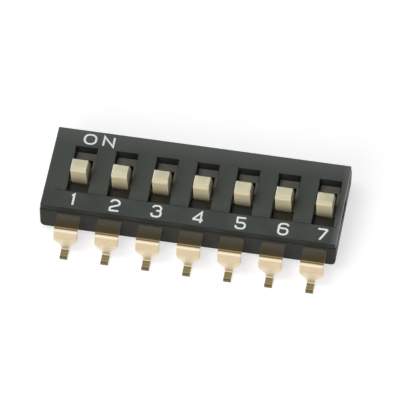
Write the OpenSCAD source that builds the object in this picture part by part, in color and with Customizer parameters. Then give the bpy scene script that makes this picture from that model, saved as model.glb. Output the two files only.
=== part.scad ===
// Surface-mount DIP switch with seven raised slide actuators.
// Moulded cover snapped on a moulded base, gull-wing terminals in two rows.
// Units are millimetres. X runs along the row from position 1 to position 7,
// Y runs from the OFF side (front) to the ON side (rear), and Z = 0 is the
// board, which is the underside of the terminal feet. X = 0 and Y = 0 are the
// middle of the whole part. Modules are drawn about the middle of the body.

/* [Row] */
// Distance between neighbouring positions
pitch = 2.54; // [2.3:0.01:3.2]
// Plastic between the first slot and the left end of the cover
left_end = 1.31; // [0.6:0.01:2.5]
// Plastic between the last slot and the right end of the cover
right_end = 0.35; // [0.28:0.01:1.5]
// Sideways stand of the terminal row from the slot row
lead_shift = -0.20; // [-0.35:0.01:0.3]

/* [Cover] */
// Width of one actuator slot
slot_w = 1.4; // [1.3:0.01:1.7]
// Length of one actuator slot
slot_l = 3.62; // [3.4:0.01:4.5]
// Plastic between the slots and the front edge, where the numbers are printed
front_edge = 1.305; // [1.2:0.005:2.2]
// Plastic between the slots and the rear edge
rear_edge = 1.28; // [1.15:0.005:2.2]
// Height of the cover's visible side band
band_h = 0.41; // [0.3:0.01:0.8]
// Thickness of the cover's top wall at the slots
cover_wall = 0.65; // [0.5:0.01:0.8]
// Height by which the slot band stands above the printed margins
band_step = 0.035; // [0.01:0.005:0.1]
// Drop from the top of the cover to the lips beside a stem
lip_drop = 0.5; // [0.47:0.01:0.55]
// Clearance between a cover rib and the wings beside it
rib_clear = 0.1; // [0.05:0.01:0.15]
// Outward lean of the cover's sides over the band height
cover_draft = 0.03; // [0:0.005:0.06]
// Radius on the cover's upper outer edge
cover_edge_r = 0.05; // [0.02:0.01:0.12]
// Radius of the vertical corners of cover and base
corner_r = 0.14; // [0.05:0.01:0.4]

/* [Base] */
// Height of the base's outer wall
base_h = 1.58; // [1.45:0.01:1.8]
// Distance by which the base stands out past the cover, each side
base_lip = 0.05; // [0:0.01:0.1]
// Inward lean of the base's walls over their height
base_draft = 0.03; // [0:0.005:0.08]
// Radius on the lower edges of the front and rear walls
base_edge_r = 0.08; // [0.02:0.01:0.2]
// Radius of the lower corners at the two ends
end_r = 0.44; // [0.1:0.01:0.6]
// Thickness of the rim wall along the front and rear
rim_side = 0.98; // [0.9:0.01:1.1]
// Thickness of the rim wall at the two ends
rim_end = 0.2; // [0.16:0.01:0.24]
// Drop from the top of the cover to the ledges seen in the slots
ledge_drop = 0.6; // [0.55:0.01:0.8]
// Width of the ledges, a little less than the slot
ledge_w = 1.2; // [1.0:0.01:1.28]
// Length of the rear ledge, from the slot's rear edge forward
rear_ledge = 0.6; // [0.4:0.01:0.8]
// Floor of the contact wells above the board
well_floor = 0.78; // [0.73:0.01:0.86]
// Gap between the standoff pads and the board
board_gap = 0.1; // [0.05:0.01:0.14]
// Height of the four standoff pads under the base
pad_h = 0.06; // [0.03:0.01:0.1]
// Diameter of the standoff pads
pad_d = 0.9; // [0.5:0.05:1.5]
// Distance by which the plinth under the base stands in from its walls
plinth_in = 0.55; // [0.45:0.01:0.9]

/* [Latch] */
// Width of the latch tongue at each end of the cover
tongue_w = 1.3; // [0.8:0.05:2.0]
// Distance by which the tongue stands back from the cover's end face
tongue_set = 0.03; // [0.02:0.01:0.06]
// Distance by which the tongue reaches below the parting line
tongue_l = 0.5; // [0.3:0.01:0.8]
// Height of the latch recess cut into the cover's band
tongue_notch = 0.1; // [0.04:0.01:0.2]

/* [Actuators] */
// Width of a raised knob
knob_w = 0.98; // [0.8:0.01:1.1]
// Depth of a knob, front to rear
knob_d = 0.9; // [0.7:0.01:1.2]
// Height of a knob above the cover
knob_h = 1.33; // [0.4:0.01:2.0]
// Distance by which the knob reaches down into its slot
knob_sink = 0.42; // [0.3:0.01:0.43]
// Gap between the slot's front edge and the knob when OFF
knob_gap = 0.59; // [0.4:0.01:0.7]
// Backward lean of the knob's front face from top to bottom
knob_rake = 0.42; // [0.2:0.01:0.5]
// Reach of the knob's heel behind its top
heel_l = 0.62; // [0.52:0.01:0.66]
// Height of the upright heel above the cover
heel_h = 0.25; // [0.1:0.01:0.5]
// Radius along the knob's front upper edge
knob_nose_r = 0.24; // [0.05:0.01:0.35]
// Radius on the knob's other edges
knob_edge_r = 0.07; // [0.02:0.01:0.15]
// Width of the stem under the knob
stem_w = 0.94; // [0.88:0.01:0.96]
// Depth of the stem, front to rear
stem_d = 0.84; // [0.7:0.01:0.9]
// Distance by which the stem stands behind the knob's front
stem_set = 0.56; // [0.4:0.01:0.6]
// Reach of the wings under the cover, past each side of the slot
wing_reach = 0.07; // [0.05:0.01:0.07]
// Thickness of the wings
wing_t = 0.13; // [0.08:0.01:0.15]
// Slide travel from OFF to ON
travel = 1.0; // [0.8:0.01:1.05]
// Thickness of the cheeks beside the moving contact
cheek_t = 0.1; // [0.08:0.01:0.11]

/* [Contacts] */
// Width of the moving contact
contact_w = 0.66; // [0.5:0.01:0.68]
// Sheet thickness of the moving contact
contact_t = 0.07; // [0.05:0.005:0.1]
// Height of the moving contact
contact_h = 0.62; // [0.5:0.01:0.7]
// Outer radius of the moving contact's wiper tips
wiper_r = 0.13; // [0.1:0.005:0.16]
// Diameter of the stake that holds the moving contact
stake_d = 0.22; // [0.12:0.01:0.3]
// Width of the fixed contact lands on the well floor
land_w = 0.8; // [0.6:0.01:0.84]
// Bare floor between the two lands in a well
land_gap = 0.2; // [0.15:0.01:0.25]

/* [Terminals] */
// Sheet thickness of the terminals
lead_t = 0.2; // [0.15:0.01:0.22]
// Width of the terminal strip and plate
lead_w = 1.45; // [1.3:0.01:1.7]
// Distance from the front wall of the base to the plate's outer face
lead_out = 1.31; // [0.9:0.01:1.8]
// Distance from the rear wall of the base to the plate's outer face
rear_out = 0.36; // [0.34:0.01:1.8]
// Height from the top of the foot to the top of the strip
lead_drop = 1.63; // [1.58:0.01:2.0]
// Distance by which a plate leans outward from its strip down to its foot
lead_lean = 0.16; // [0:0.01:0.3]
// Length of the solder foot past the plate
foot_l = 0.63; // [0.5:0.01:1.5]
// Width of the foot and of the neck above it
foot_w = 0.47; // [0.3:0.01:0.8]
// Height of the plate's shoulders above the board
shoulder_z = 0.88; // [0.8:0.01:1.2]
// Height over which the plate narrows to the neck
taper_h = 0.41; // [0.35:0.01:0.5]
// Radius on the plate's shoulders
shoulder_r = 0.34; // [0.05:0.01:0.4]
// Radius of the hollow between shoulder and neck
neck_r = 0.25; // [0.05:0.01:0.3]
// Inner radius of the terminal bends
bend_r = 0.1; // [0.08:0.01:0.15]
// Distance from the base wall to the buried riser of a terminal
riser_in = 0.58; // [0.5:0.01:0.65]
// Plastic of the base above the strip
strip_cover = 0.08; // [0.05:0.01:0.12]

/* [Clearances] */
// Open seam between cover and base
seam = 0.06; // [0.03:0.01:0.1]
// Fit between the cover's plug and the base's rim
fit = 0.04; // [0.03:0.005:0.06]
// Running gap around a sliding piece
run_gap = 0.04; // [0.03:0.005:0.06]
// Gap left around a moulded-in terminal
mould_gap = 0.01; // [0:0.005:0.02]

/* [Hidden] */
positions = 7;
eps = 0.01;
$fn = 64;

// Outline of the cover's top face
len_x = (positions - 1) * pitch + slot_w + left_end + right_end;
wid_y = front_edge + slot_l + rear_edge;
slot_x1 = -len_x / 2 + left_end + slot_w / 2;
slot_front = -wid_y / 2 + front_edge;
slot_rear = slot_front + slot_l;

// Stand of the body's middle from the middle between the two rows of feet
body_y = (lead_out - rear_out) / 2;

// Heights above the board
strip_top = lead_t + lead_drop;
base_top = strip_top + strip_cover;
part_z = base_top + seam;
top_z = part_z + band_h;
base_bot = base_top - base_h;
cover_under = top_z - cover_wall;
ledge_z = top_z - ledge_drop;
lip_z = top_z - lip_drop;
plinth_z = board_gap + pad_h;

// Slider at rest, which is OFF
knob_front = slot_front + knob_gap;
knob_back = knob_front + knob_d;
stem_front = knob_front + stem_set;
stem_back = stem_front + stem_d;
wing_w = slot_w + 2 * wing_reach;
wing_top = cover_under - run_gap;
wing_bot = wing_top - wing_t;
deck_z = wing_bot - run_gap;
cheek_bot = well_floor + 2 * run_gap;
contact_seat = well_floor + run_gap + contact_h;

// Contact well under a slider
well_front = stem_front - run_gap;
well_back = max(stem_back + travel + run_gap, slot_rear - rear_ledge);
well_w = stem_w + 2 * run_gap;

// Fixed lands on the well floor, whose gap the moving contact bridges when ON
land_mid = (stem_front + stem_back) / 2 + travel;
rear_land_y = land_mid + land_gap / 2;
front_land_y = land_mid - land_gap / 2;

// Outline of the base
base_x = len_x + 2 * base_lip;
base_y = wid_y + 2 * (cover_draft + base_lip);
plug_x = base_x - 2 * rim_end - 2 * fit;
plug_y = base_y - 2 * rim_side - 2 * fit;

// Centre of slot i along the row
function slot_x(i) = slot_x1 + (i - 1) * pitch;

function unit(v) = v / norm(v);

// Extrudes a profile drawn as (Y, Z) along X
module along_x(length) {
    rotate([90, 0, 90])
        linear_extrude(height = length, center = true)
            children();
}

// Extrudes a profile drawn as (X, Z) along Y
module along_y(length) {
    rotate([90, 0, 0])
        linear_extrude(height = length, center = true)
            children();
}

// Convex outline with a true arc of radius rs[i] at each corner
module soft_poly(pts, rs) {
    n = len(pts);
    polygon([
        for (i = [0:n - 1])
            let (p = pts[i],
                 u = unit(pts[(i + n - 1) % n] - p),
                 v = unit(pts[(i + 1) % n] - p),
                 t = rs[i] / tan(acos(u * v) / 2))
            each (rs[i] > 0 ? [p + t * u, p + t * v] : [p])
    ]);
    for (i = [0:n - 1])
        if (rs[i] > 0)
            let (p = pts[i],
                 u = unit(pts[(i + n - 1) % n] - p),
                 v = unit(pts[(i + 1) % n] - p))
                translate(p + unit(u + v) * rs[i] / sin(acos(u * v) / 2))
                    circle(r = rs[i]);
}

// Rectangle with round corners, centred
module soft_rect(w, h, r) {
    soft_poly([[-w / 2, -h / 2], [w / 2, -h / 2], [w / 2, h / 2], [-w / 2, h / 2]], [r, r, r, r]);
}

// Upright section of a lid or box, symmetric about its middle: half width a at
// z1 with edge radius ra, and half width b at z0 with edge radius rb
module flank(a, b, z0, z1, ra, rb) {
    soft_poly([[-b, z0], [b, z0], [a, z1], [-a, z1]], [rb, rb, ra, ra]);
}

// Places its children once for each position, at that slot's centre line
module each_position() {
    for (i = [1:positions])
        translate([slot_x(i), 0, 0])
            children();
}

// Fills a concave corner p, between edges towards a and b, with a true fillet
module inner_fillet(p, a, b, r) {
    u = unit(a - p);
    v = unit(b - p);
    ang = acos(u * v);
    t = r / tan(ang / 2);
    c = p + unit(u + v) * r / sin(ang / 2);
    difference() {
        polygon([p, p + t * u, c, p + t * v]);
        translate(c)
            circle(r = r);
    }
}

// Length taken from each side of corner i by a bend of centre-line radius r
function bend_reach(pts, i, r) =
    i == 0 || i == len(pts) - 1 ? 0 :
    r * tan(acos(unit(pts[i] - pts[i - 1]) * unit(pts[i + 1] - pts[i])) / 2);

// Section of bent sheet of thickness t along the points, with bends of
// centre-line radius r
module bent_sheet(pts, t, r) {
    for (i = [0:len(pts) - 2])
        let (d = unit(pts[i + 1] - pts[i]),
             w = [-d[1], d[0]] * t / 2,
             p = pts[i] + bend_reach(pts, i, r) * d,
             q = pts[i + 1] - bend_reach(pts, i + 1, r) * d)
            polygon([p + w, q + w, q - w, p - w]);
    for (i = [1:len(pts) - 2])
        let (d1 = unit(pts[i] - pts[i - 1]),
             d2 = unit(pts[i + 1] - pts[i]),
             c = pts[i] + unit(d2 - d1) * r / cos(acos(d1 * d2) / 2),
             n1 = (pts[i] - bend_reach(pts, i, r) * d1 - c) / r,
             n2 = (pts[i] + bend_reach(pts, i, r) * d2 - c) / r,
             k = r + t)
            intersection() {
                translate(c)
                    difference() {
                        circle(r = r + t / 2);
                        circle(r = r - t / 2);
                    }
                polygon([c, c + k * n1, c + k * (n1 + n2) / (1 + n1 * n2), c + k * n2]);
            }
    // Core of the sheet across each line where a bend meets a straight run
    for (i = [1:len(pts) - 2], m = [-1, 1])
        let (d = unit(pts[i + (m + 1) / 2] - pts[i + (m - 1) / 2]),
             w = [-d[1], d[0]] * t / 4,
             p = pts[i] + m * bend_reach(pts, i, r) * d)
            polygon([p - eps * d + w, p + eps * d + w, p + eps * d - w, p - eps * d - w]);
}

// Cover: top wall with the slots, side band, plug, ribs and latch tongues
module cover_band() {
    a = len_x / 2;
    b = wid_y / 2;
    intersection() {
        along_x(len_x + 2)
            flank(b, b + cover_draft, part_z, top_z, cover_edge_r, 0);
        along_y(wid_y + 2)
            flank(a, a + cover_draft, part_z, top_z, cover_edge_r, 0);
        translate([0, 0, part_z - eps])
            linear_extrude(height = band_h + 2 * eps)
                soft_rect(len_x + 2 * cover_draft, wid_y + 2 * cover_draft, corner_r);
    }
}

// Cut that leaves the slot band standing above the printed margins
module margin_cuts() {
    x0 = slot_x(1) - slot_w / 2 - left_end / 2;
    x1 = slot_x(positions) + slot_w / 2 + right_end / 2;
    translate([0, 0, top_z - band_step])
        linear_extrude(height = band_step + eps)
            difference() {
                square([len_x + 2, wid_y + 2], center = true);
                translate([x0, slot_front])
                    square([x1 - x0, slot_l]);
            }
}

module cover_plug() {
    rib_z = cover_under - deck_z;
    translate([-plug_x / 2, -plug_y / 2, cover_under])
        cube([plug_x, plug_y, part_z - cover_under + eps]);
    // Ribs between neighbouring positions stand on the deck and guide the wings
    for (i = [1:positions - 1])
        translate([slot_x(i) + wing_w / 2 + rib_clear, -plug_y / 2, deck_z])
            cube([pitch - wing_w - 2 * rib_clear, plug_y, rib_z + eps]);
    // Pad beside the first position stands on the deck in the same way
    translate([-plug_x / 2, -plug_y / 2, deck_z])
        cube([slot_x(1) - wing_w / 2 - rib_clear + plug_x / 2, plug_y, rib_z + eps]);
}

// Tongue that drops from the cover into the recess at one end of the base
module latch_tongue() {
    x0 = plug_x / 2;
    x1 = len_x / 2 - tongue_set;
    translate([x0 - eps, -tongue_w / 2, part_z - tongue_l])
        cube([x1 - x0 + eps, tongue_w, tongue_l + tongue_notch + eps]);
}

// Opening of one slot: full width above the lips and over the ledges, and
// narrowed to the stem between them
module slot_cut() {
    low_z = deck_z - eps;
    translate([-slot_w / 2, slot_front, lip_z])
        cube([slot_w, slot_l, top_z - lip_z + eps]);
    translate([-slot_w / 2, slot_front, low_z])
        cube([slot_w, well_front + fit - slot_front, lip_z - low_z + eps]);
    translate([-slot_w / 2, well_back - fit, low_z])
        cube([slot_w, slot_rear - well_back + fit, lip_z - low_z + eps]);
    translate([-well_w / 2, slot_front, low_z])
        cube([well_w, slot_l, lip_z - low_z + eps]);
}

module cover() {
    color([0.22, 0.24, 0.23])
        translate([0, body_y, 0])
            difference() {
                union() {
                    difference() {
                        union() {
                            cover_band();
                            cover_plug();
                        }
                        margin_cuts();
                        for (m = [0, 1])
                            mirror([m, 0, 0])
                                translate([plug_x / 2, -tongue_w / 2 - fit, part_z - eps])
                                    cube([1, tongue_w + 2 * fit, tongue_notch + eps]);
                    }
                    for (m = [0, 1])
                        mirror([m, 0, 0])
                            latch_tongue();
                }
                each_position()
                    slot_cut();
            }
}

// Base: walls, rim, deck, ledges, contact wells, plinth and standoff pads
module base_block() {
    intersection() {
        along_x(base_x + 2)
            flank(base_y / 2, base_y / 2 - base_draft, base_bot, base_top, 0, base_edge_r);
        along_y(base_y + 2)
            flank(base_x / 2, base_x / 2 - base_draft, base_bot, base_top, 0, end_r);
        translate([0, 0, base_bot - eps])
            linear_extrude(height = base_h + 2 * eps)
                soft_rect(base_x, base_y, corner_r);
    }
    translate([0, 0, plinth_z])
        linear_extrude(height = base_bot - plinth_z + eps)
            soft_rect(base_x - 2 * plinth_in, base_y - 2 * plinth_in, corner_r);
    for (sx = [-1, 1])
        for (sy = [-1, 1])
            translate([sx * (base_x / 2 - plinth_in - pad_d), sy * (base_y / 2 - plinth_in - pad_d), board_gap])
                cylinder(h = pad_h + eps, d = pad_d);
}

module ledges() {
    translate([-ledge_w / 2, slot_front + fit, deck_z - eps])
        cube([ledge_w, well_front - slot_front - fit, ledge_z - deck_z + eps]);
    translate([-ledge_w / 2, well_back, deck_z - eps])
        cube([ledge_w, slot_rear - fit - well_back, ledge_z - deck_z + eps]);
}

module base() {
    rim_x = base_x - 2 * rim_end;
    rim_y = base_y - 2 * rim_side;
    color([0.17, 0.16, 0.14])
        translate([0, body_y, 0])
            difference() {
                union() {
                    difference() {
                        base_block();
                        translate([-rim_x / 2, -rim_y / 2, deck_z])
                            cube([rim_x, rim_y, base_top - deck_z + eps]);
                    }
                    each_position()
                        ledges();
                }
                each_position()
                    translate([-well_w / 2, well_front, well_floor])
                        cube([well_w, well_back - well_front, top_z]);
                for (m = [0, 1])
                    mirror([m, 0, 0])
                        translate([plug_x / 2 - fit, -tongue_w / 2 - fit, part_z - tongue_l - fit])
                            cube([1, tongue_w + 2 * fit, tongue_l + 1]);
                for (i = [1:positions])
                    for (side = [-1, 1])
                        terminal_form(i, side, mould_gap);
            }
}

// Slider: raking knob with a heel, stem, wings and contact carrier
module knob() {
    y0 = knob_front;
    y1 = knob_back;
    y2 = knob_back + heel_l;
    z0 = top_z - knob_sink;
    z1 = top_z + knob_h;
    zh = top_z + heel_h;
    w = knob_w / 2;
    r = knob_edge_r;
    intersection() {
        along_x(knob_w + 1)
            soft_poly([[y0 + knob_rake, z0], [y2, z0], [y2, zh], [y1, z1], [y0, z1]],
                      [r, 0, 2 * r, r, knob_nose_r]);
        along_y(20)
            soft_poly([[-w, z0], [w, z0], [w, z1], [-w, z1]], [0, 0, r, r]);
        // Column with round front edges, leaning with the front face
        translate([0, y0, z1])
            rotate([atan(knob_rake / (z1 - z0)), 0, 0])
                translate([0, 2, -3])
                    linear_extrude(height = 4)
                        soft_rect(knob_w, 4, r);
    }
}

module stem() {
    y0 = stem_front;
    y1 = stem_back;
    translate([-stem_w / 2, y0, cheek_bot])
        cube([stem_w, y1 - y0, top_z - knob_sink + 2 * eps - cheek_bot]);
    translate([0, (y0 + y1) / 2, wing_bot])
        linear_extrude(height = wing_t)
            soft_rect(wing_w, stem_d, knob_edge_r);
}

module slider(i) {
    mid = (stem_front + stem_back) / 2;
    color([0.86, 0.83, 0.70])
        translate([slot_x(i), body_y, 0]) {
            knob();
            difference() {
                stem();
                translate([-stem_w / 2 + cheek_t, stem_front - eps, cheek_bot - eps])
                    cube([stem_w - 2 * cheek_t, stem_d + 2 * eps, contact_seat - cheek_bot + eps]);
            }
            // Stake with a formed head, through the moving contact
            translate([0, mid, contact_seat - contact_t - run_gap / 2])
                cylinder(h = contact_t + run_gap, d = stake_d);
            translate([0, mid, contact_seat - contact_t - run_gap / 2 - contact_t])
                cylinder(h = contact_t, d = 1.5 * stake_d);
        }
}

// Closed loop section of half length a between heights z0 and z1
module loop(a, z0, z1, r) {
    soft_poly([[-a, z0], [a, z0], [a, z1], [-a, z1]], [r, r, r, r]);
}

// Moving contact: bent sheet under the slider, with two wiper tips
module moving_contact(i) {
    mid = (stem_front + stem_back) / 2;
    reach = stem_d / 2 - run_gap;
    z0 = well_floor + run_gap;
    tip = reach - 2 * wiper_r;
    color([0.85, 0.66, 0.32])
        translate([slot_x(i), body_y + mid, 0])
            difference() {
                along_x(contact_w)
                    difference() {
                        loop(reach, z0, contact_seat, wiper_r);
                        loop(reach - contact_t, z0 + contact_t, contact_seat - contact_t, wiper_r - contact_t);
                        translate([-tip, z0 - 1])
                            square([2 * tip, 1 + 2 * contact_t]);
                    }
                translate([0, 0, contact_seat - 2 * contact_t])
                    cylinder(h = 3 * contact_t, d = stake_d + run_gap);
            }
}

// Terminal of position i, side -1 at the front and 1 at the rear: land on the
// well floor, buried riser, strip, leaning plate and foot. Grow makes the
// base's cut.
module terminal_form(i, side, grow) {
    t = lead_t + 2 * grow;
    r = bend_r + lead_t / 2;
    wall = base_y / 2;
    riser = side * (wall - riser_in);
    plate = side * (wall + (side < 0 ? lead_out : rear_out) - lead_t / 2);
    z_land = well_floor - lead_t / 2;
    z_mid = (well_floor + strip_top) / 2;
    z_strip = strip_top - lead_t / 2;
    z_foot = lead_t / 2;
    land = (side < 0 ? front_land_y : rear_land_y) - side * grow;
    low = plate + side * lead_lean;
    foot = low + side * (lead_t / 2 + foot_l);
    translate([slot_x(i), 0, 0])
        along_x(land_w + 2 * grow)
            bent_sheet([[land, z_land], [riser, z_land], [riser, z_mid]], t, r);
    translate([slot_x(i) + lead_shift, 0, 0])
        intersection() {
            along_x(lead_w + 2 * grow)
                bent_sheet([[riser, z_mid - eps], [riser, z_strip], [plate, z_strip],
                            [low, z_foot], [foot, z_foot]], t, r);
            along_y(40)
                lead_outline(lead_w / 2 + grow, foot_w / 2 + grow);
        }
}

// Front view of a plate: straight sides, shoulders, neck
module lead_outline(a, n) {
    neck = shoulder_z - taper_h;
    s = shoulder_r;
    soft_poly([[-n, -1], [n, -1], [n, neck], [a, shoulder_z], [a, top_z], [-a, top_z], [-a, shoulder_z],
               [-n, neck]], [0, 0, 0, s, 0, 0, s, 0]);
    for (m = [-1, 1])
        inner_fillet([m * n, neck], [m * n, -1], [m * a, shoulder_z], neck_r);
}

module terminal_front(i) {
    color([0.88, 0.74, 0.50])
        translate([0, body_y, 0])
            terminal_form(i, -1, 0);
}

module terminal_rear(i) {
    color([0.88, 0.74, 0.50])
        translate([0, body_y, 0])
            terminal_form(i, 1, 0);
}

cover();
base();
slider(1);  // slider_1
slider(2);  // slider_2
slider(3);  // slider_3
slider(4);  // slider_4
slider(5);  // slider_5
slider(6);  // slider_6
slider(7);  // slider_7
moving_contact(1);  // moving_contact_1
moving_contact(2);  // moving_contact_2
moving_contact(3);  // moving_contact_3
moving_contact(4);  // moving_contact_4
moving_contact(5);  // moving_contact_5
moving_contact(6);  // moving_contact_6
moving_contact(7);  // moving_contact_7
terminal_front(1);  // terminal_front_1
terminal_front(2);  // terminal_front_2
terminal_front(3);  // terminal_front_3
terminal_front(4);  // terminal_front_4
terminal_front(5);  // terminal_front_5
terminal_front(6);  // terminal_front_6
terminal_front(7);  // terminal_front_7
terminal_rear(1);  // terminal_rear_1
terminal_rear(2);  // terminal_rear_2
terminal_rear(3);  // terminal_rear_3
terminal_rear(4);  // terminal_rear_4
terminal_rear(5);  // terminal_rear_5
terminal_rear(6);  // terminal_rear_6
terminal_rear(7);  // terminal_rear_7
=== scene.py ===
import math

import bpy
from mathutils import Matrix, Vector

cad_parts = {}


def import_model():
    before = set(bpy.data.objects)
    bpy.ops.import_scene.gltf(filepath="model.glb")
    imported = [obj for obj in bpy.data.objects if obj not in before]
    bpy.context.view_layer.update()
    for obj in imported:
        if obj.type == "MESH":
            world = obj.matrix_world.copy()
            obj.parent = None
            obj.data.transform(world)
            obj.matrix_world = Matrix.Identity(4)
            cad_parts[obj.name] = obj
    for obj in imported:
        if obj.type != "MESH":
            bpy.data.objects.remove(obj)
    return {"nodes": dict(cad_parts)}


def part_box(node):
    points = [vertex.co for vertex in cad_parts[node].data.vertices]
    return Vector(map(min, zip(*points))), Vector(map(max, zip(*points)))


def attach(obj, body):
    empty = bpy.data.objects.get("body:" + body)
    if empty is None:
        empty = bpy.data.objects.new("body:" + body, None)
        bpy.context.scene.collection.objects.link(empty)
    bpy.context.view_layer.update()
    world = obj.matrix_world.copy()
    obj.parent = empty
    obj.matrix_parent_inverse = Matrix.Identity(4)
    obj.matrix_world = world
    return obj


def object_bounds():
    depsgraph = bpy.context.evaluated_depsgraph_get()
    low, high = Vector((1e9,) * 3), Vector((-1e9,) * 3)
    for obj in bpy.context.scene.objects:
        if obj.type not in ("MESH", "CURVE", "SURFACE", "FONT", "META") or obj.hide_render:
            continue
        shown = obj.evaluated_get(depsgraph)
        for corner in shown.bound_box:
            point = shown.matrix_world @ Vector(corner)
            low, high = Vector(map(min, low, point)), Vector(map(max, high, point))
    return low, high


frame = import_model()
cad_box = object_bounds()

# Looks of the seven-position DIP switch: materials on the CAD pieces, the printed characters,
# and the studio. The scene is in metres. Sizes below are in millimetres, and MM converts them.
MM = 0.001
POSITIONS = 7

# Sizes of the part that the print and the materials are placed from
BAND_STEP = 0.035         # height of the slot band above the printed margins
FRONT_EDGE = 1.305        # from the front edge of the cover's top to the slots
REAR_EDGE = 1.28          # from the slots to the rear edge of the cover's top
DRAFT = 0.03              # outward lean of the cover's band
LEDGE_START = 0.3         # where a slot's dark front floor gives way to its rear ledge
SHEET = 0.199             # just under the thickness of the terminal sheet

# Zones of a surface are set by its normal, whose parts run from -1 to 1, or by places in
# millimetres. A pair is where the zone's mask is 0 and where it is 1, and four values are
# where it starts, is full, starts to fade and ends
TURNED = (0.5, 0.9)
UPWARD = 0.8
DOWNWARD = -0.9
SPREAD = (0.3, 0.7)       # usual spread of a noise

# Moulded plastics: blotches of tone, patches of gloss, and grain as width and depth
CLOUD_SIZE = 1.6
CLOUD_SHARES = (0.86, 1.16)
GLOSS_SIZE = 0.5
GLOSS_CHANGE = (-0.05, 0.06)
COVER_GRAIN = (0.06, 0.0012)
BASE_GRAIN = (0.07, 0.0016)
IVORY_GRAIN = (0.05, 0.0008)

# Cover. Beside its black, its lighter and darker tones are painted light and shade: light on the
# bars and the lips, a sheen on the rear margin, a highlight on the right margin, a reflection on
# the end faces, and shade on the walls and the band's front face
COVER_BLACK = (0.064, 0.074, 0.068)
COVER_BARS_PAINTED_LIGHT = (0.073, 0.082, 0.071)
COVER_REAR_PAINTED_SHEEN = (0.104, 0.114, 0.108)
COVER_RIGHT_PAINTED_HIGHLIGHT = (0.135, 0.142, 0.137)
COVER_LIPS_PAINTED_LIGHT = (0.165, 0.167, 0.125)
COVER_ENDS_PAINTED_REFLECTION = (0.185, 0.191, 0.182)
COVER_WALLS_PAINTED_SHADE = (0.030, 0.033, 0.030)
COVER_BAND_PAINTED_SHADE = (0.018, 0.020, 0.018)
COVER_ROUGHNESS = 0.40
COVER_SPECULAR = 0.5
WALL_SPECULAR = 0.28
BAR_FADE = 0.4            # from the slots' front edge to the full tone of the bars
RIGHT_FADE = (0.42, 0.10)  # in from the right edge
LIP_DEPTH = 0.3           # from the cover's top down to the lips of the slots
BAND_DEPTH = 2.5 * DRAFT  # in from the front, where only the band's outer face lies

# Base
BASE_BLACK = (0.020, 0.0197, 0.0135)
# Painted light on the base's upward faces: dim on the slots' front floors, strong on their rear
# ledges
BASE_FRONT_FLOOR_PAINTED_DIM_LIGHT = (0.050, 0.050, 0.040)
BASE_LEDGE_PAINTED_LIGHT = (0.142, 0.137, 0.114)
BASE_ROUGHNESS = 0.44
BASE_SPECULAR = 0.27
LEDGE_FADE = 0.3
EJECTOR_PLACE = (4.3, 1.3)
EJECTOR_RADIUS = 0.7
EJECTOR_LINE = 0.03
EJECTOR_DEPTH = 0.012

# Sliders. Beside the ivory, their tones are painted light and shade: warm shade on the flanks
# that darkens deeper down, shade on the nose edge and the right faces, and highlights on the rims
# and the upright edges
IVORY = (0.73, 0.69, 0.485)
IVORY_FLANK_PAINTED_SHADE = (0.80, 0.695, 0.46)
IVORY_DEEP_PAINTED_SHADE = (0.25, 0.21, 0.125)
IVORY_NOSE_PAINTED_SHADE = (0.63, 0.575, 0.395)
IVORY_RIM_PAINTED_HIGHLIGHT = (0.96, 0.95, 0.84)
IVORY_UPRIGHT_PAINTED_HIGHLIGHT = (0.97, 0.94, 0.82)
IVORY_RIGHT_PAINTED_SHADE = (0.58, 0.50, 0.325)
IVORY_ROUGHNESS = 0.4
SUBSURFACE_WEIGHT = 0.3
SUBSURFACE_RADIUS = (1.0, 0.8, 0.5)
SUBSURFACE_SCALE = 0.3
FLANK_TILT = (0.8, 0.2)
EDGE_TILT = (0.35, 0.55, 0.90, 0.98)
NOSE_TURN = (-0.10, -0.30)
UPRIGHT_TURN = (0.2, 0.4, 0.75, 0.9)
RIGHT_TURN = (0.75, 0.92)
DROP = (0.5, 1.65)        # down from a knob's top, for the deeper tone
DROP_POWER = 1.4
UPRIGHT_DROP = (0.25, 1.0)
UPRIGHT_LEFT = 0.2        # share of the upright edges' tone that is left at the bottom

# Terminals and moving contacts. FROM_TIP sizes run inward from the outer end of a foot,
# and HEIGHT sizes run up from the board
GOLD = (0.80, 0.66, 0.455)
# Painted light on the terminals' upward faces
GOLD_TOP_PAINTED_LIGHT = (0.85, 0.765, 0.58)
# Painted highlight on the bend, painted reflection tones at the strip's root and end, painted
# highlights on the neck, a painted dark reflection on the foot, a painted highlight line near its
# tip and painted shade at the tip
GOLD_BEND_PAINTED_HIGHLIGHT = (0.97, 0.84, 0.63)
GOLD_ROOT_PAINTED_REFLECTION = (0.80, 0.74, 0.62)
GOLD_STRIP_END_PAINTED_REFLECTION = (0.82, 0.63, 0.33)
GOLD_NECK_PAINTED_HIGHLIGHT = (0.96, 0.85, 0.665)
GOLD_NECK_LOW_PAINTED_HIGHLIGHT = (0.86, 0.755, 0.57)
GOLD_FOOT_PAINTED_REFLECTION = (0.47, 0.41, 0.265)
GOLD_CREASE_PAINTED_HIGHLIGHT = (0.80, 0.73, 0.49)
GOLD_TIP_PAINTED_SHADE = (0.24, 0.21, 0.135)
TERMINAL_ROUGHNESS = 0.14
CONTACT_GOLD = (0.80, 0.62, 0.34)
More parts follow.
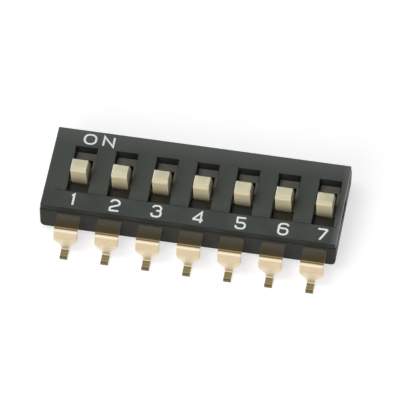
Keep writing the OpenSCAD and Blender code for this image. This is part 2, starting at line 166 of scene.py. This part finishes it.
# Painted shade on the contacts' upward faces
CONTACT_TOP_PAINTED_SHADE = (0.80, 0.60, 0.30)
CONTACT_ROUGHNESS = 0.3
PATCH_SIZE = 0.7
PATCH_SPREAD = (0.35, 0.7)
PATCH_SHARES = (0.96, 0.93, 0.88)
UPPER_TILT = (0.75, 0.95)
SHEARED_TURN = (0.6, 0.9)
SHEARED_SHARE = 0.42
SHEARED_DULLNESS = 0.22
SQUARE_ON = 0.9           # a face that looks straight along an axis
ROLLING_SIZE = 0.025      # width of the lines that rolling leaves along the strip
ROLLING_STRETCH = (1, 40, 40)
ROLLING_CHANGE = (-0.02, 0.03)
ROLLING_DEPTH = 0.00003
BEND_TILT = (0.2, 0.5, 0.58, 0.72)
BEND_DEPTH = 0.5          # down from the strip's top to the end of its bend
STRIP_DEPTH = 0.05        # down from the strip's top, where only its flat part lies
STRIP_END_FROM_TIP = (1.7, 1.3)
ROOT_FROM_TIP = (1.5, 1.9)
ROOT_DULLNESS = 0.22
PLATE_TILT = 0.6          # below it a face is part of the plate
NECK_HEIGHT = (1.1, 0.7)
NECK_LOW_HEIGHT = (0.5, 0.4)
NECK_DULLNESS = 0.26
FOOT_HEIGHT = 1.05 * SHEET
CREASE_FROM_TIP = 0.15
CREASE_FADE = (0.07, 0.03)
TIP_FADE = (0.05, 0.01)

# Printed characters
INK = (0.88, 0.91, 0.88)
INK_THIN = (0.80, 0.83, 0.80)
INK_FULL = (0.95, 0.97, 0.95)
INK_ROUGHNESS = 0.5
INK_PATCH = 0.09
INK_SPREAD = (0.3, 0.6)
INK_GRAIN = (0.03, 0.0012)
INK_STROKE = 0.134        # width of a stroke
INK_HEIGHT = 0.006        # of a stroke's flat top above the cover
INK_EDGE = 0.004          # width of the chamfer on each side of a stroke
INK_SINK = 0.0005         # by which the ink reaches into the cover
STROKE_LIFT = 0.0004      # of a character's second stroke above its first
ARC_STEPS = 8             # straight runs in a rounded corner
ARC_LIMIT = 0.98          # share of the shorter run that a rounded corner may take
MITRE_LIMIT = 0.42        # keeps a sharp corner from growing too long
SAME_POINT = 1e-6
DIGIT_DROP = 0.64         # from the slots' front edge to the middle of the numbers
DIGIT_PITCH = 2.587       # of the print, which is a little wider than the slots'
DIGIT_SHIFT = 0.07        # of the row of numbers from the middle slot
DIGIT_FALL = 0.013        # by which each number stands nearer to the front than the last
DIGIT_NUDGE = {5: 0.05, 6: 0.09, 7: -0.09}  # of single numbers along the row
DIGIT_SIZE = (0.56, 0.83)  # width and height between the middles of the strokes
WORD_RISE = 0.63          # from the slots' rear edge to the middle of the word
WORD_START = 0.09         # from the first slot's middle to the first letter's
WORD_SPACING = 1.16       # from letter to letter
LETTER_SIZES = {"O": (0.70, 0.72), "N": (0.62, 0.72)}

# Pen paths of the characters. Half the width and half the height are 1, and the third
# number is the radius of the rounded corner there, as a share of half the width
GLYPHS = {
    "1": [[(-0.45, 0.68, 0), (0.0, 1, 0), (0.0, -1, 0)]],
    "2": [[(-0.93, 0.52, 0), (-0.93, 1, 0.8), (0.93, 1, 0.9), (0.93, 0.16, 0.5),
           (-0.97, -0.42, 0.2), (-0.97, -1, 0), (1, -1, 0)]],
    "3": [[(-0.86, 0.62, 0), (-0.86, 1, 0.5), (0.88, 1, 0.7), (0.88, 0.1, 0.5), (-0.1, 0.1, 0)],
          [(-0.1, 0.1, 0), (1, 0.1, 0.6), (1, -1, 0.75), (-1, -1, 0.6), (-1, -0.42, 0)]],
    "4": [[(0.62, -1.04, 0), (0.62, 1, 0), (-1.1, -0.5, 0)],
          [(-1.13, -0.5, 0), (1.15, -0.5, 0)]],
    "5": [[(0.95, 1, 0), (-0.85, 1, 0), (-0.85, 0.06, 0.1), (1, 0.16, 0.75), (1, -1, 0.75),
           (-1, -1, 0.6), (-1, -0.5, 0)]],
    "6": [[(0.93, 0.62, 0), (0.93, 1, 0.5), (-1, 1, 0.85), (-1, -1, 0.8), (0, -1, 0)],
          [(0, -1, 0), (1, -1, 0.8), (1, 0.14, 0.65), (-0.98, 0.14, 0)]],
    "7": [[(-1.05, 1, 0), (1.05, 1, 0.2), (-0.38, -1, 0)]],
    "O": [[(0, 1, 0), (1, 1, 0.85), (1, -1, 0.85), (-1, -1, 0.85), (-1, 1, 0.85), (0, 1, 0)]],
    "N": [[(-1, -1, 0), (-1, 1, 0), (1, -1, 0), (1, 1, 0)]],
}

# Lamps: name, place, width, and the brightness that each gives a white surface facing it
LAMPS = (
    ("key", (-130, -40, 350), 220, 0.42),
    ("fill", (-120, -360, 200), 250, 0.56),
    ("side", (400, -100, 120), 250, 0.16),
)
SKY = 0.16

# Floor: its paper, and the white that the camera and the reflections see on top of it
FLOOR_HALF = 1500
FLOOR_DROP = 0.01
FLOOR_GREY = 0.50
FLOOR_ROUGHNESS = 0.9
FLOOR_SEEN = 0.65
FLOOR_MIRRORED = 0.54

# Ceiling that reflections see: a light line, a dip and a light front, along Y
CEILING_HALF = 2400
CEILING_HEIGHT = 500
CEILING_BACK = 0.078
CEILING_LINE = 0.42
CEILING_DIP = 0.18
CEILING_FRONT = 1.08
LINE_FADE = (260, 130)
DIP_FADE = (40, -60)
FRONT_FADE = (-200, -420)

# Camera: the direction from which it looks, its distance, the width that it sees there, and
# the middle of its view, to the right and up from the middle of the cover's top
AZIMUTH = 9.9
ELEVATION = 51.5
DISTANCE = 340
VIEW_WIDTH = 24.54
VIEW_MIDDLE = (0.2331, -0.9294)
SENSOR = 36.0
CLIP = (10, 10000)        # nearest and farthest that it sees


def box_mm(name):
    """Corners of a CAD piece's box, in millimetres."""
    return [[c / MM for c in corner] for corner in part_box(name)]


# ---- Node helpers ----

class Shader:
    """A material of one Principled shader, with helpers that add nodes to it.

    Position is the place on the piece in millimetres. Facing is the direction of the
    surface, and steepness the same without its signs. Each is a set of X, Y and Z.
    """

    def __init__(self, name, colour, roughness, metallic=0.0):
        self.material = bpy.data.materials.new(name)
        self.material.use_nodes = True
        self.tree = self.material.node_tree
        self.surface = self.tree.nodes["Principled BSDF"]
        coordinate = self.node("ShaderNodeTexCoord").outputs
        self.place = self.vector("MULTIPLY", coordinate["Object"], (1 / MM,) * 3)
        self.position = self.split(self.place)
        self.facing = self.split(coordinate["Normal"])
        self.steepness = self.split(self.vector("ABSOLUTE", coordinate["Normal"]))
        self.relief = None
        self.set("Base Color", (*colour, 1))
        self.set("Roughness", roughness)
        self.set("Metallic", metallic)

    def node(self, kind):
        return self.tree.nodes.new(kind)

    def plug(self, value, socket):
        if isinstance(value, bpy.types.NodeSocket):
            self.tree.links.new(value, socket)
        else:
            socket.default_value = value

    def apply(self, node, values):
        for value, socket in zip(values, node.inputs):
            self.plug(value, socket)
        return node.outputs[0]

    def math(self, operation, *values):
        node = self.node("ShaderNodeMath")
        node.operation = operation
        return self.apply(node, values)

    def vector(self, operation, *values):
        node = self.node("ShaderNodeVectorMath")
        node.operation = operation
        return self.apply(node, values)

    def split(self, vector):
        node = self.node("ShaderNodeSeparateXYZ")
        self.plug(vector, node.inputs[0])
        return node.outputs

    def noise(self, size, detail, stretch=(1, 1, 1), roughness=0.5):
        """Noise whose blobs are about size across, longer along the stretched axes."""
        node = self.node("ShaderNodeTexNoise")
        where = self.vector("MULTIPLY", self.place, tuple(1 / (size * s) for s in stretch))
        self.plug(where, node.inputs["Vector"])
        node.inputs["Scale"].default_value = 1.0
        node.inputs["Detail"].default_value = detail
        node.inputs["Roughness"].default_value = roughness
        return node.outputs["Fac"]

    def ramp(self, value, low, high, start, end):
        """Value mapped from low..high to start..end, and held at the ends."""
        return self.apply(self.node("ShaderNodeMapRange"), (value, low, high, start, end))

    def rise(self, value, low, high):
        """Mask that is 0 at low and 1 at high. Low may be the larger of the two."""
        return self.ramp(value, low, high, 0.0, 1.0)

    def above(self, value, level):
        return self.math("GREATER_THAN", value, level)

    def below(self, value, level):
        return self.math("LESS_THAN", value, level)

    def band(self, value, start, full, fade, end):
        """Mask that is 1 between full and fade, and 0 before start and past end."""
        return self.both(self.rise(value, end, fade), self.rise(value, start, full))

    def both(self, first, *others):
        """Mask where all the given masks are 1."""
        for other in others:
            first = self.math("MULTIPLY", first, other)
        return first

    def mix(self, share, first, second):
        node = self.node("ShaderNodeMix")
        node.data_type = "RGBA"
        colours = [(*c, 1) if isinstance(c, tuple) else c for c in (first, second)]
        for value, k in zip((share, *colours), (0, 6, 7)):
            self.plug(value, node.inputs[k])
        return node.outputs[2]

    def set(self, socket, value):
        self.surface.inputs[socket].default_value = value

    def drive(self, socket, value):
        self.tree.links.new(value, self.surface.inputs[socket])

    def driver(self, socket):
        return self.surface.inputs[socket].links[0].from_socket

    def tint(self, mask, colour):
        """Lays a colour over what drives the base colour so far, where the mask is 1."""
        self.drive("Base Color", self.mix(mask, self.driver("Base Color"), colour))

    def roughen(self, mask, amount):
        more = self.math("MULTIPLY", mask, amount)
        self.drive("Roughness", self.math("ADD", self.driver("Roughness"), more))

    def bump(self, height, depth):
        """Adds one layer of relief whose height runs from 0 to 1 over depth."""
        node = self.node("ShaderNodeBump")
        node.inputs["Distance"].default_value = depth * MM
        self.plug(height, node.inputs["Height"])
        if self.relief is not None:
            self.plug(self.relief, node.inputs["Normal"])
        self.relief = node.outputs[0]
        self.drive("Normal", self.relief)

    def glow(self, strength):
        """Makes the surface a plain light of the given strength beside its own colour."""
        self.set("Specular IOR Level", 0.0)
        self.set("Emission Color", (1, 1, 1, 1))
        self.drive("Emission Strength", strength)


def scaled(colour, *shares):
    """Colour times one share, or times a share for each of its parts."""
    return tuple(c * k for c, k in zip(colour, shares * (3 // len(shares))))


# ---- Materials ----

def moulded(name, colour, roughness, grain):
    """Moulded plastic: a faint cloudiness, an eroded grain and a little uneven gloss."""
    s = Shader(name, colour, roughness)
    dark, light = (scaled(colour, share) for share in CLOUD_SHARES)
    s.drive("Base Color", s.mix(s.rise(s.noise(CLOUD_SIZE, 3), *SPREAD), dark, light))
    gloss = (roughness + change for change in GLOSS_CHANGE)
    s.drive("Roughness", s.ramp(s.noise(GLOSS_SIZE, 4), *SPREAD, *gloss))
    s.bump(s.noise(grain[0], 3, roughness=0.6), grain[1])
    return s


def cover_plastic():
    """Black, with painted light on the bars and the lips, a painted sheen on the rear margin, a
    painted highlight on the right margin, a painted reflection on the end faces, and painted
    shade on the walls and the band's front face.
    """
    s = moulded("cover_plastic", COVER_BLACK, COVER_ROUGHNESS, COVER_GRAIN)
    low, high = box_mm("cover")
    x, y, z = s.position
    slots_front = low[1] + DRAFT + FRONT_EDGE
    slots_rear = high[1] - DRAFT - REAR_EDGE
    # Painted light on the bars and behind them, fading in from the slots' front edge
    s.tint(s.rise(y, slots_front, slots_front + BAR_FADE), COVER_BARS_PAINTED_LIGHT)
    # Painted sheen on the rear margin
    s.tint(s.rise(y, slots_rear, high[1]), COVER_REAR_PAINTED_SHEEN)
    # Painted highlight along the right margin
    s.tint(s.rise(x, *(high[0] - inward for inward in RIGHT_FADE)), COVER_RIGHT_PAINTED_HIGHLIGHT)
    # Painted light on the slots' lips, below LIP_DEPTH
    s.tint(s.below(z, high[2] - LIP_DEPTH), COVER_LIPS_PAINTED_LIGHT)
    # Painted reflection on the end faces
    s.tint(s.rise(s.steepness[0], *TURNED), COVER_ENDS_PAINTED_REFLECTION)
    # Painted shade on the walls that face front or back, darkest on the band's front face; these
    # walls are also less glossy
    shaded_walls = s.rise(s.steepness[1], *TURNED)
    s.tint(shaded_walls, COVER_WALLS_PAINTED_SHADE)
    s.tint(s.both(shaded_walls, s.below(y, low[1] + BAND_DEPTH)), COVER_BAND_PAINTED_SHADE)
    s.drive("Specular IOR Level", s.ramp(shaded_walls, 0.0, 1.0, COVER_SPECULAR, WALL_SPECULAR))
    return s.material


def ejector_rings(s):
    """Mask of four thin rings on the underside, mirrored about the middle of the base."""
    low, high = box_mm("base")
    from_middle = s.vector("SUBTRACT", s.place, (0, (low[1] + high[1]) / 2, 0))
    from_ring = s.vector("SUBTRACT", s.vector("ABSOLUTE", from_middle), (*EJECTOR_PLACE, 0))
    squares = [s.math("POWER", part, 2.0) for part in s.split(from_ring)[:2]]
    radius = s.math("SQRT", s.math("ADD", *squares))
    off_line = s.math("ABSOLUTE", s.math("SUBTRACT", radius, EJECTOR_RADIUS))
    return s.both(s.rise(off_line, EJECTOR_LINE, 0.0), s.below(s.facing[2], DOWNWARD))


def base_plastic():
    """Warmer black, with painted light on the floors and ledges that show in the slots: dim on
    the front floors, strong on the rear ledges.
    """
    s = moulded("base_plastic", BASE_BLACK, BASE_ROUGHNESS, BASE_GRAIN)
    s.set("Specular IOR Level", BASE_SPECULAR)
    # Painted light on faces that look up, dim in front of LEDGE_START and strong behind it
    ledge_light = s.rise(s.position[1], LEDGE_START, LEDGE_START + LEDGE_FADE)
    s.tint(s.above(s.facing[2], UPWARD), s.mix(ledge_light, BASE_FRONT_FLOOR_PAINTED_DIM_LIGHT, BASE_LEDGE_PAINTED_LIGHT))
    s.bump(ejector_rings(s), EJECTOR_DEPTH)
    return s.material


def ivory_plastic():
    """Painted warm shade on the flanks, darker deeper down in the slot, painted shade on the nose
    edge and the right faces, and painted highlights on the other upper edges and the upright
    edges.
    """
    s = moulded("ivory_plastic", IVORY, IVORY_ROUGHNESS, IVORY_GRAIN)
    top = box_mm("slider_1")[1][2]
    tilt = s.facing[2]
    # Painted warm shade on the flanks, darker deeper down in the slot
    flank = s.rise(tilt, *FLANK_TILT)
    drop = s.rise(s.position[2], *(top - down for down in DROP))
    s.tint(flank, s.mix(s.math("POWER", drop, DROP_POWER), IVORY_FLANK_PAINTED_SHADE, IVORY_DEEP_PAINTED_SHADE))
    # Painted shade on the upper edge that faces front, painted highlight on the other upper edges
    upper_edge = s.band(tilt, *EDGE_TILT)
    nose_shade = s.both(upper_edge, s.rise(s.facing[1], *NOSE_TURN))
    s.tint(nose_shade, IVORY_NOSE_PAINTED_SHADE)
    s.tint(s.math("SUBTRACT", upper_edge, nose_shade), IVORY_RIM_PAINTED_HIGHLIGHT)
    # Painted highlight on the upright edges, fading towards the bottom
    upright_highlight = s.both(s.band(s.steepness[0], *UPRIGHT_TURN), flank)
    s.tint(s.both(upright_highlight, s.ramp(drop, *UPRIGHT_DROP, 1.0, UPRIGHT_LEFT)), IVORY_UPRIGHT_PAINTED_HIGHLIGHT)
    # Painted shade on the faces that look right
    s.tint(s.rise(s.facing[0], *RIGHT_TURN), IVORY_RIGHT_PAINTED_SHADE)
    s.set("Subsurface Weight", SUBSURFACE_WEIGHT)
    s.set("Subsurface Radius", SUBSURFACE_RADIUS)
    s.set("Subsurface Scale", SUBSURFACE_SCALE * MM)
    return s.material


def gold(name, colour, painted_top_tone, roughness):
    """Gold plate over rolled sheet. Upward faces get a painted top tone: painted light on the
    terminals, painted shade on the contacts. Sheared edges are darker and rougher.
    """
    s = Shader(name, colour, roughness, 1.0)
    patches = s.rise(s.noise(PATCH_SIZE, 3), *PATCH_SPREAD)
    s.drive("Base Color", s.mix(patches, colour, scaled(colour, *PATCH_SHARES)))
    # Painted top tone on upward faces: light on the terminals, shade on the contacts
    s.tint(s.rise(s.facing[2], *UPPER_TILT), painted_top_tone)
    foot_end = s.both(s.below(s.position[2], SHEET), s.above(s.steepness[1], SQUARE_ON))
    sheared = s.math("MAXIMUM", s.rise(s.steepness[0], *SHEARED_TURN), foot_end)
    s.tint(sheared, scaled(painted_top_tone, SHEARED_SHARE))
    rolling = s.noise(ROLLING_SIZE, 2, ROLLING_STRETCH)
    dullness = (roughness + change for change in ROLLING_CHANGE)
    s.drive("Roughness", s.ramp(rolling, *SPREAD, *dullness))
    s.roughen(sheared, SHEARED_DULLNESS)
    s.bump(rolling, ROLLING_DEPTH)
    return s


def terminal_gold():
    """Gold with a painted highlight on the bend, a painted greyer reflection on the rougher root,
    a painted deeper reflection at the strip's end, a painted highlight on the rougher neck, a
    painted dark reflection on the foot, a painted highlight line near its tip and painted shade
    at the tip.
    """
    s = gold("terminal_gold", GOLD, GOLD_TOP_PAINTED_LIGHT, TERMINAL_ROUGHNESS)
    low, high = box_mm("terminal_front_1")
    height, tilt = s.position[2], s.facing[2]
    from_tip = s.math("SUBTRACT", -low[1], s.math("ABSOLUTE", s.position[1]))
    on_strip = s.above(height, high[2] - STRIP_DEPTH)
    in_foot = s.below(height, FOOT_HEIGHT)

    # Painted highlight on the bend
    near_strip = s.above(height, high[2] - BEND_DEPTH)
    s.tint(s.both(s.band(tilt, *BEND_TILT), near_strip), GOLD_BEND_PAINTED_HIGHLIGHT)
    # Painted greyer reflection at the root, which is also rougher
    root = s.both(s.rise(from_tip, *ROOT_FROM_TIP), on_strip)
    s.tint(root, GOLD_ROOT_PAINTED_REFLECTION)
    s.roughen(root, ROOT_DULLNESS)
    # Painted deeper reflection at the strip's end
    s.tint(s.both(s.rise(from_tip, *STRIP_END_FROM_TIP), on_strip), GOLD_STRIP_END_PAINTED_REFLECTION)

    # Painted highlight on the neck, which is also rougher
    neck_highlight = s.both(s.rise(height, *NECK_HEIGHT), s.below(tilt, PLATE_TILT))
    s.tint(neck_highlight, GOLD_NECK_PAINTED_HIGHLIGHT)
    s.tint(s.both(s.rise(height, *NECK_LOW_HEIGHT), neck_highlight), GOLD_NECK_LOW_PAINTED_HIGHLIGHT)
    s.roughen(neck_highlight, NECK_DULLNESS)

    # Painted dark reflection on the foot's flat top
    s.tint(s.both(in_foot, s.above(tilt, SQUARE_ON)), GOLD_FOOT_PAINTED_REFLECTION)
    # Painted highlight line across the foot near its tip, and painted shade at the tip
    off_crease = s.math("ABSOLUTE", s.math("SUBTRACT", from_tip, CREASE_FROM_TIP))
    s.tint(s.both(s.rise(off_crease, *CREASE_FADE), in_foot), GOLD_CREASE_PAINTED_HIGHLIGHT)
    s.tint(s.both(s.rise(from_tip, *TIP_FADE), in_foot), GOLD_TIP_PAINTED_SHADE)
    return s.material


def print_ink():
    """White ink, a little thin in places."""
    s = Shader("print_ink", INK, INK_ROUGHNESS)
    thick = s.rise(s.noise(INK_PATCH, 3), *INK_SPREAD)
    s.drive("Base Color", s.mix(thick, INK_THIN, INK_FULL))
    s.bump(s.noise(INK_GRAIN[0], 2), INK_GRAIN[1])
    return s.material


def dress(material, *nodes):
    for name in nodes:
        for slot in frame["nodes"][name].material_slots:
            slot.material = material


def each(name):
    """Names of the pieces of one kind, one for each position."""
    return ["%s_%d" % (name, i) for i in range(1, POSITIONS + 1)]


def dress_all():
    dress(cover_plastic(), "cover")
    dress(base_plastic(), "base")
    dress(ivory_plastic(), *each("slider"))
    dress(terminal_gold(), *each("terminal_front"), *each("terminal_rear"))
    contact = gold("contact_gold", CONTACT_GOLD, CONTACT_TOP_PAINTED_SHADE, CONTACT_ROUGHNESS)
    dress(contact.material, *each("moving_contact"))


# ---- Print ----

def rounded_corner(before, corner, after, radius):
    """Points of the arc that rounds the corner between its two neighbours."""
    back, ahead = (before - corner).normalized(), (after - corner).normalized()
    half = back.angle(ahead) / 2
    limit = ARC_LIMIT * min((before - corner).length, (after - corner).length)
    reach = min(radius / math.tan(half), limit)
    centre = corner + (back + ahead).normalized() * reach / math.cos(half)
    first = corner + back * reach - centre
    turn = first.angle_signed(corner + ahead * reach - centre)
    points = []
    for n in range(ARC_STEPS + 1):
        angle = -turn * n / ARC_STEPS
        points.append(centre + Vector((first.x * math.cos(angle) - first.y * math.sin(angle),
                                       first.x * math.sin(angle) + first.y * math.cos(angle))))
    return points


def pen_path(points, half_width, half_height):
    """The points of one stroke, with its rounded corners drawn as arcs."""
    corners = [Vector((x * half_width, y * half_height)) for x, y, _ in points]
    path = []
    for k, corner in enumerate(corners):
        radius = points[k][2] * half_width
        if radius == 0:
            path.append(corner)
        else:
            path += rounded_corner(corners[k - 1], corner, corners[k + 1], radius)
    return path


def offset(path, k, closed):
    """Direction across the stroke at point k, longer at a corner so that the width holds."""
    last = len(path) - 1
    before = path[k - 1] if k > 0 else (path[last - 1] if closed else None)
    after = path[k + 1] if k < last else (path[1] if closed else None)
    runs = []
    if before is not None:
        runs.append((path[k] - before).normalized())
    if after is not None:
        runs.append((after - path[k]).normalized())
    sides = [Vector((-r.y, r.x)) for r in runs]
    across = sum(sides, Vector((0, 0))).normalized()
    return across / max(MITRE_LIMIT, across.dot(sides[0]))


def ink_stroke(path, lift, verts, faces):
    """Adds a raised flat-topped band along the path, with chamfered edges."""
    closed = (path[0] - path[-1]).length < SAME_POINT
    half, top = INK_STROKE / 2, INK_HEIGHT + lift
    section = ((-half, 0.0), (-half + INK_EDGE, top), (half - INK_EDGE, top), (half, 0.0))
    start = len(verts)
    for k, point in enumerate(path):
        across = offset(path, k, closed)
        verts += [(*(point + across * side), height) for side, height in section]
    for k in range(len(path) - 1):
        a = start + 4 * k
        faces += [(a + j, a + j + 1, a + j + 5, a + j + 4) for j in range(3)]
    if not closed:
        end = start + 4 * (len(path) - 1)
        faces.append(tuple(start + j for j in (3, 2, 1, 0)))
        faces.append(tuple(end + j for j in (0, 1, 2, 3)))


def character(sign, x, y, z, size, material):
    """One printed character centred on x, y, with its foot on the surface at z."""
    verts, faces = [], []
    for k, points in enumerate(GLYPHS[sign]):
        path = pen_path(points, size[0] / 2, size[1] / 2)
        ink_stroke(path, STROKE_LIFT * k, verts, faces)
    name = "print_%s" % sign
    mesh = bpy.data.meshes.new(name)
    places = [((vx + x) * MM, (vy + y) * MM, (vz + z - INK_SINK) * MM) for vx, vy, vz in verts]
    mesh.from_pydata(places, [], faces)
    mesh.materials.append(material)
    piece = bpy.data.objects.new(name, mesh)
    bpy.context.collection.objects.link(piece)
    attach(piece, "housing")


def slot_middle(i):
    low, high = box_mm("slider_%d" % i)
    return (low[0] + high[0]) / 2


def print_cover():
    """The numbers in front of the slots and the word behind the first slot."""
    white = print_ink()
    low, high = box_mm("cover")
    z = high[2] - BAND_STEP
    digits_y = low[1] + DRAFT + FRONT_EDGE - DIGIT_DROP
    middle = (POSITIONS + 1) // 2
    for i in range(1, POSITIONS + 1):
        along = (i - middle) * DIGIT_PITCH + DIGIT_NUDGE.get(i, 0)
        x = slot_middle(middle) + DIGIT_SHIFT + along
        character(str(i), x, digits_y - (i - middle) * DIGIT_FALL, z, DIGIT_SIZE, white)
    word_y = high[1] - DRAFT - REAR_EDGE + WORD_RISE
    for k, letter in enumerate("ON"):
        x = slot_middle(1) + WORD_START + k * WORD_SPACING
        character(letter, x, word_y, z, LETTER_SIZES[letter], white)


# ---- Studio ----

def sheet(name, half, height, paint):
    """Square sheet of the studio, parallel to the board."""
    corners = [(x * half * MM, y * half * MM, 0) for x, y in ((-1, -1), (1, -1), (1, 1), (-1, 1))]
    mesh = bpy.data.meshes.new(name)
    mesh.from_pydata(corners, [], [(0, 1, 2, 3)])
    mesh.materials.append(paint.material)
    piece = bpy.data.objects.new(name, mesh)
    piece.location.z = height
    bpy.context.collection.objects.link(piece)
    return piece


def floor():
    """Pale floor. The camera and reflections see it near white, with the part's shadow."""
    paint = Shader("floor_paper", (FLOOR_GREY,) * 3, FLOOR_ROUGHNESS)
    seen = paint.node("ShaderNodeLightPath").outputs
    lift = paint.math("MULTIPLY", seen["Is Camera Ray"], FLOOR_SEEN)
    paint.glow(paint.math("MULTIPLY_ADD", seen["Is Glossy Ray"], FLOOR_MIRRORED, lift))
    sheet("floor", FLOOR_HALF, cad_box[0][2] - FLOOR_DROP * MM, paint)


def ceiling():
    """Ceiling that only reflections see. Its bands give the bends their thin lines."""
    paint = Shader("ceiling_paint", (0, 0, 0), 1.0)
    y = paint.position[1]
    line = paint.ramp(y, *LINE_FADE, CEILING_BACK, CEILING_LINE)
    dip = paint.ramp(y, *DIP_FADE, 0.0, CEILING_DIP - CEILING_LINE)
    front = paint.ramp(y, *FRONT_FADE, 0.0, CEILING_FRONT - CEILING_DIP)
    paint.glow(paint.math("ADD", paint.math("ADD", line, dip), front))
    card = sheet("ceiling", CEILING_HALF, CEILING_HEIGHT * MM, paint)
    card.visible_camera = False
    card.visible_diffuse = False
    card.visible_shadow = False


def world():
    """White to the camera and in reflections, and a plain soft sky to the surfaces."""
    sky = bpy.data.worlds.new("studio")
    bpy.context.scene.world = sky
    sky.use_nodes = True
    tree = sky.node_tree
    tree.nodes.clear()
    seen = tree.nodes.new("ShaderNodeLightPath").outputs
    either = tree.nodes.new("ShaderNodeMath")
    either.operation = "MAXIMUM"
    mix = tree.nodes.new("ShaderNodeMixShader")
    out = tree.nodes.new("ShaderNodeOutputWorld")
    tree.links.new(seen["Is Camera Ray"], either.inputs[0])
    tree.links.new(seen["Is Glossy Ray"], either.inputs[1])
    tree.links.new(either.outputs[0], mix.inputs[0])
    for k, strength in ((1, SKY), (2, 1.0)):
        white = tree.nodes.new("ShaderNodeBackground")
        white.inputs["Color"].default_value = (1, 1, 1, 1)
        white.inputs["Strength"].default_value = strength
        tree.links.new(white.outputs[0], mix.inputs[k])
    tree.links.new(mix.outputs[0], out.inputs["Surface"])


def softbox(name, place, width, level):
    """Square lamp that aims at the part, and that reflections do not see."""
    place = Vector(place) * MM
    lamp = bpy.data.lights.new(name, "AREA")
    lamp.shape = "SQUARE"
    lamp.size = width * MM
    lamp.energy = level * math.pi ** 2 * place.length ** 2
    piece = bpy.data.objects.new(name, lamp)
    piece.location = place
    piece.rotation_euler = (-place).to_track_quat("-Z", "Y").to_euler()
    piece.visible_glossy = False
    bpy.context.collection.objects.link(piece)


def camera():
    """Camera at the photograph's angle."""
    az, el = math.radians(AZIMUTH), math.radians(ELEVATION)
    towards = Vector((math.sin(az) * math.cos(el), -math.cos(az) * math.cos(el), math.sin(el)))
    right = Vector((math.cos(az), math.sin(az), 0))
    up = towards.cross(right)
    low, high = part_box("cover")
    top = Vector(((low[0] + high[0]) / 2, (low[1] + high[1]) / 2, high[2]))
    rightward, upward = (shift * MM for shift in VIEW_MIDDLE)
    lens = bpy.data.cameras.new("camera")
    lens.sensor_width = SENSOR
    lens.lens = SENSOR * DISTANCE / VIEW_WIDTH
    lens.clip_start, lens.clip_end = (distance * MM for distance in CLIP)
    piece = bpy.data.objects.new("camera", lens)
    piece.location = top + right * rightward + up * upward + towards * DISTANCE * MM
    piece.rotation_euler = (-towards).to_track_quat("-Z", "Y").to_euler()
    bpy.context.collection.objects.link(piece)
    bpy.context.scene.camera = piece


dress_all()
print_cover()
floor()
world()
for lamp in LAMPS:
    softbox(*lamp)
ceiling()
camera()
bpy.context.scene.view_settings.view_transform = "Standard"
